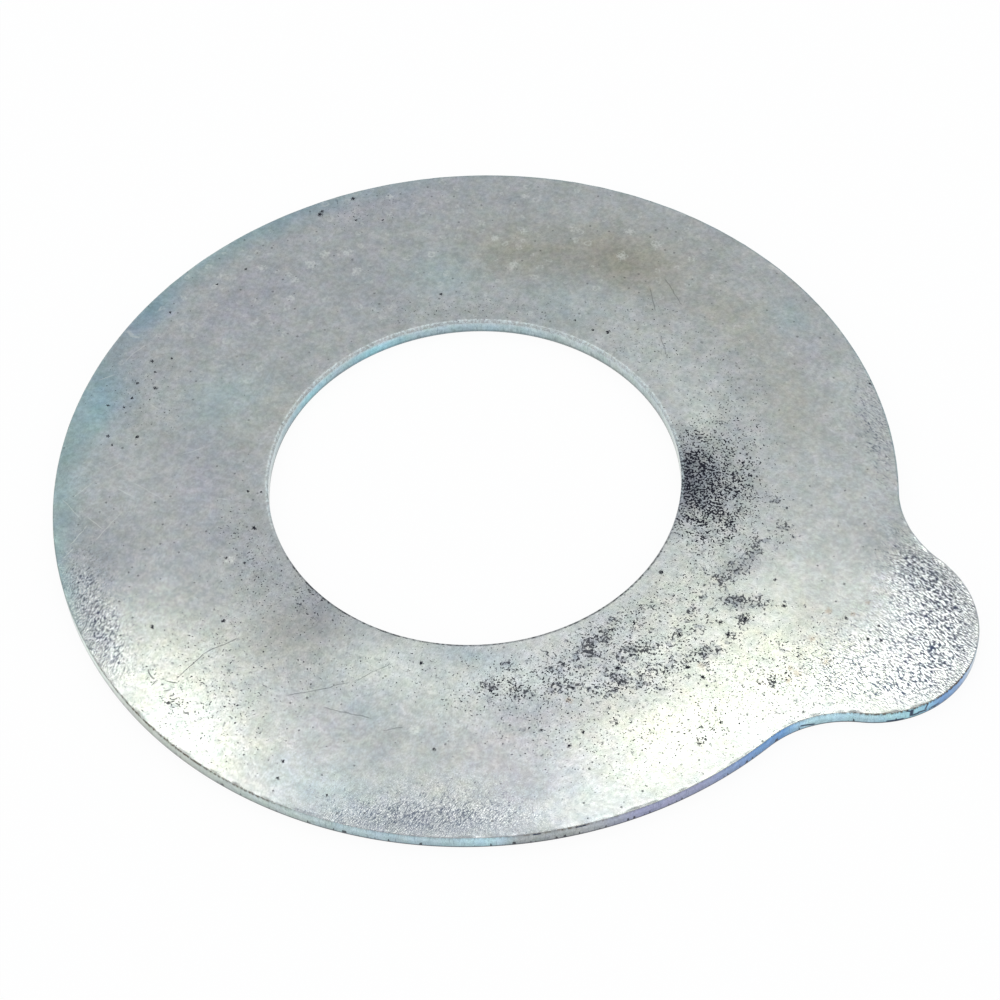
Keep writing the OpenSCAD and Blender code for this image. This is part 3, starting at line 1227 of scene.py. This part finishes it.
@dataclass(frozen=True)
class ZincPlating:
    """Worn zinc plating over blanked steel, with painted glints and painted shade: the fields it reads, its
    colours, cell sizes and strengths.
    """

    fields: tuple[str, ...]
    # The first colour darkens real dirt marks, and also paints shade on the bore's lip and a contact shadow
    # along the bottom of the walls.
    soot_and_shade: Colour = (0.010, 0.011, 0.020, 1.0)
    # This colour also paints the shade in the crystal grain's hollows, besides real smudges, wall streaks and
    # tears.
    slate: Colour = (0.011, 0.026, 0.070, 1.0)
    rust: Colour = (0.20, 0.155, 0.110, 1.0)
    brown: Colour = (0.105, 0.078, 0.055, 1.0)
    bloom: Colour = (0.60, 0.64, 0.62, 1.0)
    # The next two colours are painted highlights: the pale far side of the bore's lip, and the near-white
    # sparkle of the crystal grain.
    painted_lip_sheen: Colour = (0.62, 0.73, 0.76, 1.0)
    painted_glint: Colour = (0.90, 0.93, 0.93, 1.0)
    roughness: float = 0.19
    worn_roughness: float = 0.5
    grain_depth: float = 0.007 * MM
    grain_cell: float = 0.118 * MM
    fine_cell: float = 0.100 * MM
    ragged_cell: float = 0.12 * MM
    cloud_cell: float = 3.0 * MM
    hue_cell: float = 1.5 * MM
    mottle_cell: float = 0.60 * MM
    blister_cell: float = 2.0 * MM
    blister_r: float = 0.36 * MM
    blister_share: float = 0.36
    dot_cell: float = 1.3 * MM
    dot_r: float = 0.13 * MM
    dot_share: float = 0.15
    stain_cell: float = 0.24 * MM
    stain_curls: float = 0.35
    speckle_cell: float = 0.30 * MM
    speckle_curls: float = 1.0
    speckle_strength: float = 0.76
    dot_strength: float = 0.50
    scratch_strength: float = 0.46
    pale_strength: float = 0.32
    smudge_strength: float = 0.36
    dirt_strength: float = 0.97
    tear_strength: float = 0.97
    # How dark the painted contact shadow along the bottom of the walls is.
    foot_shadow_strength: float = 0.85

    def build(self) -> bpy.types.Material:
        """Draws the material's nodes.

        Returns:
            The material.
        """
        material = bpy.data.materials.new("zinc_plating")
        material.use_nodes = True
        material.node_tree.nodes.clear()
        sketch = PlatingSketch(self, material.node_tree)
        colour = sketch.crystals(sketch.blisters(sketch.film()))
        colour, dirt = sketch.dirt(colour)
        colour, wear = sketch.edges(colour)
        depth = sketch.attribute("crystals") * sketch.attribute("coarse") * 0.27 + 0.08
        bump = {"Height": sketch.coarse["Height"] * depth, "Strength": 1.0, "Distance": self.grain_depth}
        inputs = {
            "Base Color": colour,
            "Roughness": (dirt + wear).ramp(0.0, 1.0, self.roughness, self.worn_roughness),
            "Metallic": 1.0,
            "Normal": sketch.wire("ShaderNodeBump", bump),
        }
        sketch.add("ShaderNodeOutputMaterial", {"Surface": sketch.wire("ShaderNodeBsdfPrincipled", inputs)})
        return material


class PlatingSketch(NodeSketch):
    """The plating's nodes, one effect laid over another."""

    def __init__(self, finish: ZincPlating, tree: bpy.types.NodeTree) -> None:
        """Adds what several effects share: coordinates, masks, noises and groups.

        Args:
            finish: The plating's sizes and colours.
            tree: The material's tree.
        """
        super().__init__(tree)
        self.finish = finish
        self.at = self.wires("ShaderNodeTexCoord")["Object"]
        self.flat = self.vector("MULTIPLY", self.at, (1.0, 1.0, 0.0))
        self.wall = self.attribute("wall")
        self.off_wall = 1.0 - self.wall
        self.ragged = self.noise(self.at, finish.ragged_cell, 1.0) - 0.5
        self.hue = self.noise(self.at, finish.hue_cell, 3.0, output=1)
        self.shift = self.vector("SUBTRACT", self.hue, (0.5, 0.5, 0.5))
        self.wobble = self.vector("MULTIPLY", self.shift, (0.0, 6.0, 0.0))
        self.stroke = stroke_group()
        self.flecks = fleck_group()
        grain = grain_group()
        lean = self.direction("lean")
        self.coarse = self.place(grain, Vector=self.at, Lean=lean, Cell=finish.grain_cell)
        self.fine = self.place(grain, Vector=self.at, Lean=lean, Cell=finish.fine_cell)

    def place(self, group: bpy.types.NodeTree, **inputs: Value) -> dict[str, Wire]:
        """Adds a node group, joins its inputs and returns its outputs by name."""
        return self.wires("ShaderNodeGroup", inputs, node_tree=group)

    def direction(self, name: str) -> Wire:
        """Reads a field of vectors."""
        return self.wires("ShaderNodeAttribute", attribute_name=name)["Vector"]

    def layers(self, name: str) -> list[Wire]:
        """Reads every layer of a field of vectors."""
        return [self.direction(field) for field in self.finish.fields if field.startswith(name + "_")]

    def strokes(self, name: str, wobble: Value) -> Wire:
        """Keeps the strongest stroke at each place.

        Args:
            name: The strokes' field.
            wobble: How far each stroke is bent sideways, in half widths.

        Returns:
            The strokes' mask.
        """
        masks = [self.place(self.stroke, Way=way, Wobble=wobble)["Mask"] for way in self.layers(name)]
        return reduce(Wire.most, masks)

    def spots(self, name: str) -> Wire:
        """Finds how far out of the nearest spot each place lies, in radii that are a little uneven.

        Args:
            name: The spots' field.

        Returns:
            The distance.
        """
        away = [self.vector("LENGTH", way) for way in self.layers(name)]
        return self.ragged * 3.0 + reduce(Wire.least, away)

    def film(self) -> Wire:
        """Draws the plating's own colour, clouds, mottling and brushed grain on the tint, and painted glints:
        near-white specks on the top face.

        Returns:
            The colour.
        """
        finish, fine = self.finish, self.fine["Strokes"]
        clouds = self.noise(self.at, finish.cloud_cell, 4.0, 0.68).ramp(0.3, 0.7, 0.92, 1.08)
        mottle = self.noise(self.at, finish.mottle_cell, 4.0, 0.76).ramp(0.3, 0.7, -0.14, 0.14) + 1.0
        brushed = fine.ramp(-2.2, 2.2, -0.17, 0.17) * self.attribute("grained") + 1.0
        hue = self.vector("MULTIPLY_ADD", self.hue, (0.18, 0.08, 0.22), (0.91, 0.96, 0.89))
        tint = self.wires("ShaderNodeAttribute", attribute_name="plating_tint")["Color"]
        colour = self.vector("SCALE", self.vector("MULTIPLY", tint, hue), scale=clouds * mottle * brushed)
        # Painted glints: near-white specks where the fine strokes run lowest.
        return self.tint(fine.ramp(-2.1, -2.8, 0.0, 0.45) * self.attribute("face"), colour, finish.painted_glint)

    def blisters(self, colour: Wire) -> Wire:
        """Lays on blisters, large at their places and small ones scattered, pale strokes and rusty blooms.

        Args:
            colour: The colour below.

        Returns:
            The colour.
        """
        finish = self.finish
        away = self.spots("blisters")
        large = abs(away - 0.7).ramp(0.5, 0.1).most(away.ramp(1.4, 0.4, 0.0, 0.85)) * 1.3
        bent = self.vector("MULTIPLY_ADD", self.shift, (1.4 * MM, 1.4 * MM, 0.0), self.flat)
        sizes = {"Cell": finish.blister_cell, "Share": finish.blister_share, "Radius": finish.blister_r}
        flecks = self.place(self.flecks, Vector=bent, **sizes)
        small = (flecks["Dots"] * 0.45 + flecks["Rings"]) * self.attribute("blistered")
        blister = large.most(small) * self.noise(self.at, 0.30 * MM, 2.0).ramp(0.36, 0.60, 0.10, 0.38)
        pale = blister.most(self.strokes("pale", self.wobble) * finish.pale_strength)
        colour = self.tint(pale * self.off_wall, colour, finish.bloom)
        return self.tint(self.spots("blooms").ramp(1.2, 0.2, 0.0, 0.55), colour, finish.rust)

    def crystals(self, colour: Wire) -> Wire:
        """Lays on painted glints and painted shade over the crystal grain: bright facets and dark hollows
        drawn as colour, more of them as their field rises.

        Args:
            colour: The colour below.

        Returns:
            The colour.
        """
        amount, coarse = self.attribute("crystals"), self.attribute("coarse")
        fine = self.fine["Strokes"]
        strokes = ((self.coarse["Strokes"] - fine) * coarse + fine) * 1.15
        level = amount * -1.5 + 1.62
        paired = (strokes + level * 0.4).ramp(0.1, -0.8)
        lone = self.ragged.ramp(0.04, 0.14)
        # Painted glints: bright facets of the grain laid on as near-white colour.
        light = ((paired - lone) * coarse + lone) * amount.ramp(0.20, 0.80) * self.attribute("glint")
        colour = self.tint(light, colour, self.finish.painted_glint)
        etched = self.attribute("etched").ramp(0.0, 1.0, 0.35, 0.95)
        # Painted shade: dark hollows along the grain's strokes, laid on as slate colour.
        hollow = (strokes - level).ramp(-0.04, 0.08) * amount.ramp(0.02, 0.30) * etched
        return self.tint(hollow, colour, self.finish.slate)

    def dirt(self, colour: Wire) -> tuple[Wire, Wire]:
        """Lays on corrosion, smudges, pits, dots and scratches.

        Args:
            colour: The colour below.

        Returns:
            The colour and the dirt's mask.
        """
        finish, corrosion = self.finish, corrosion_group()
        sizes = {"Cell": finish.stain_cell, "Curls": finish.stain_curls}
        stain = self.place(corrosion, Vector=self.at, Density=self.attribute("stain"), **sizes)
        sizes = {"Cell": finish.speckle_cell, "Curls": finish.speckle_curls}
        speckle = self.place(corrosion, Vector=self.at, Density=self.attribute("speckle"), **sizes)
        smudge = speckle["Smudges"].most(stain["Smudges"] * 0.5) * self.off_wall * finish.smudge_strength
        colour = self.tint(smudge, colour, finish.slate)
        sizes = {"Cell": finish.dot_cell, "Share": finish.dot_share, "Radius": finish.dot_r}
        dots = self.place(self.flecks, Vector=self.flat, **sizes)["Dots"] * finish.dot_strength
        scratches = self.strokes("scratches", self.wobble) * finish.scratch_strength
        marks = stain["Marks"].most(speckle["Marks"] * finish.speckle_strength)
        marks = marks.most(self.spots("pits").ramp(0.85, 0.65)).most(dots).most(scratches)
        marks = marks * self.off_wall * finish.dirt_strength
        return self.tint(marks, colour, finish.soot_and_shade), marks

    def edges(self, colour: Wire) -> tuple[Wire, Wire]:
        """Lays on the edges' wear and painted light: a painted sheen and painted shade on the bore's lip,
        streaked walls, brown burr, a painted contact shadow with nicks along the bottom of the walls, and
        tears.

        Args:
            colour: The colour below.

        Returns:
            The colour and the mask of what is matt.
        """
        finish, lip = self.finish, self.attribute("lip")
        # Painted sheen: the far side of the bore's lip turns pale in broken patches.
        worn = self.noise(self.at, 0.30 * MM, 3.0, 0.6).ramp(0.44, 0.62, 0.04, 0.60)
        colour = self.tint(lip.ramp(0.0, 1.0) * worn, colour, finish.painted_lip_sheen)
        # Painted shade: the side of the lip towards the camera darkens in blotches.
        lip_shade = self.noise(self.at, 0.50 * MM, 3.0, 0.6).ramp(0.42, 0.60, 0.20, 0.85)
        colour = self.tint(lip.ramp(0.0, -1.0) * lip_shade, colour, finish.soot_and_shade)
        upright = self.vector("MULTIPLY", self.at, (1.0, 1.0, 0.12))
        streaks = self.noise(upright, 0.14 * MM, 2.0).ramp(0.55, 0.75, 0.0, 0.35) * self.wall
        colour = self.tint(streaks, colour, finish.slate)
        burr = self.attribute("burr") * self.noise(self.flat, 0.32 * MM, 2.0).ramp(0.42, 0.58, 0.15, 0.95)
        colour = self.tint(burr, colour, finish.brown)
        # Painted contact shadow: a dark band along the bottom of the walls where they meet the floor, with
        # real nicks rising into it.
        nicks = self.noise(self.flat, 0.45 * MM, 2.0).ramp(0.57, 0.66, 0.34 * MM, 0.80 * MM)
        height = self.wires("ShaderNodeSeparateXYZ", {0: self.at})["Z"]
        foot = (height - nicks).ramp(0.07 * MM, -0.07 * MM) * self.attribute("foot") * finish.foot_shadow_strength
        colour = self.tint(foot, colour, finish.soot_and_shade)
        torn = self.strokes("tears", (0.0, 0.0, 0.0)) * finish.tear_strength
        return self.tint(torn, colour, finish.slate), burr + abs(lip)


# The studio


@dataclass(frozen=True)
class Softbox:
    """A flat studio lamp that faces the washer, placed by its direction seen from there."""

    name: str
    azimuth: float
    elevation: float
    distance: float
    wide: float
    high: float
    radiance: float
    turn: float = 0.0

    def build(self) -> None:
        """Makes the lamp, whose power is its radiance times its area times pi."""
        data = bpy.data.lights.new(self.name, "AREA")
        data.shape = "RECTANGLE"
        data.size, data.size_y = self.wide, self.high
        data.energy = self.radiance * self.wide * self.high * math.pi
        data.color = (1.0, 0.98, 0.90)
        lamp = bpy.data.objects.new(self.name, data)
        a, e = math.radians(self.azimuth), math.radians(self.elevation)
        away = Vector((math.cos(a) * math.cos(e), math.sin(a) * math.cos(e), math.sin(e)))
        lamp.location = away * self.distance
        turned = away.to_track_quat("Z", "Y") @ Quaternion((0.0, 0.0, 1.0), math.radians(self.turn))
        lamp.rotation_euler = turned.to_euler()
        bpy.context.scene.collection.objects.link(lamp)


@dataclass(frozen=True)
class Studio:
    """A plain white floor under soft light."""

    floor_r: float = 6.0
    floor_drop: float = 0.02 * MM
    floor_glow: float = 0.93
    sky: float = 1.0
    sky_colour: Colour = (0.96, 0.98, 1.0, 1.0)
    matt_white: Colour = (0.9, 0.9, 0.9, 1.0)
    white: Colour = (1.0, 1.0, 1.0, 1.0)
    boxes: tuple[Softbox, ...] = (
        Softbox("left_softbox", 138.5, 58.5, 0.9, 0.09, 0.08, 5.8),
        Softbox("right_softbox", 105.5, 59.0, 0.9, 0.20, 0.09, 4.2, 20.0),
    )

    def build(self) -> None:
        """Makes the floor, the sky and the lamps."""
        self.build_floor()
        self.build_sky()
        for box in self.boxes:
            box.build()
        bpy.context.scene.view_settings.view_transform = "Standard"

    @staticmethod
    def seen(sketch: NodeSketch) -> Wire:
        """Adds up the rays that see the background: from the camera, a mirror or through glass."""
        path = sketch.wires("ShaderNodeLightPath")
        return path["Is Camera Ray"].most(path["Is Glossy Ray"]).most(path["Is Transmission Ray"])

    def build_floor(self) -> None:
        """Makes a round floor whose own glow lifts it to white, less where the washer shades it."""
        angle = np.linspace(0.0, 2 * math.pi, 64, endpoint=False)
        ring = np.stack([np.cos(angle), np.sin(angle)], axis=1) * self.floor_r
        places = np.column_stack([ring, np.full(len(ring), -self.floor_drop)])
        mesh = bpy.data.meshes.new("floor")
        mesh.from_pydata(places, [], [list(range(len(places)))])
        floor = bpy.data.objects.new("floor", mesh)
        bpy.context.scene.collection.objects.link(floor)
        material = bpy.data.materials.new("floor_white")
        material.use_nodes = True
        material.node_tree.nodes.clear()
        sketch = NodeSketch(material.node_tree)
        matt = sketch.wire("ShaderNodeBsdfDiffuse", {"Color": self.matt_white})
        glow = sketch.wire("ShaderNodeEmission", {"Color": self.white, "Strength": 1.0})
        mixed = sketch.wire("ShaderNodeMixShader", {0: self.seen(sketch) * self.floor_glow, 1: matt, 2: glow})
        sketch.add("ShaderNodeOutputMaterial", {"Surface": mixed})
        mesh.materials.append(material)

    def build_sky(self) -> None:
        """Makes a plain sky that is white to the camera and to mirrors, and a little dimmer as a lamp."""
        world = bpy.data.worlds.new("studio_sky")
        bpy.context.scene.world = world
        world.use_nodes = True
        world.node_tree.nodes.clear()
        sketch = NodeSketch(world.node_tree)
        lamp = sketch.wire("ShaderNodeBackground", {"Color": self.sky_colour, "Strength": self.sky})
        white = sketch.wire("ShaderNodeBackground", {"Color": self.white, "Strength": 1.0})
        mixed = sketch.wire("ShaderNodeMixShader", {0: self.seen(sketch), 1: lamp, 2: white})
        sketch.add("ShaderNodeOutputWorld", {"Surface": mixed})


def main() -> None:
    """Builds the camera, the washer and the studio, and reports each piece."""
    logging.basicConfig(level=logging.INFO, format="%(name)s: %(message)s")
    camera = PictureCamera()
    camera.build()
    blank = Washer(Outline(), Section(), camera)
    washer = blank.build()
    blank.dress(washer)
    size = [round(length / MM, 2) for length in washer.dimensions]
    log.info("%s: %d faces, %s mm", washer.name, len(washer.data.polygons), size)
    Studio().build()


if __name__ == "__main__":
    main()
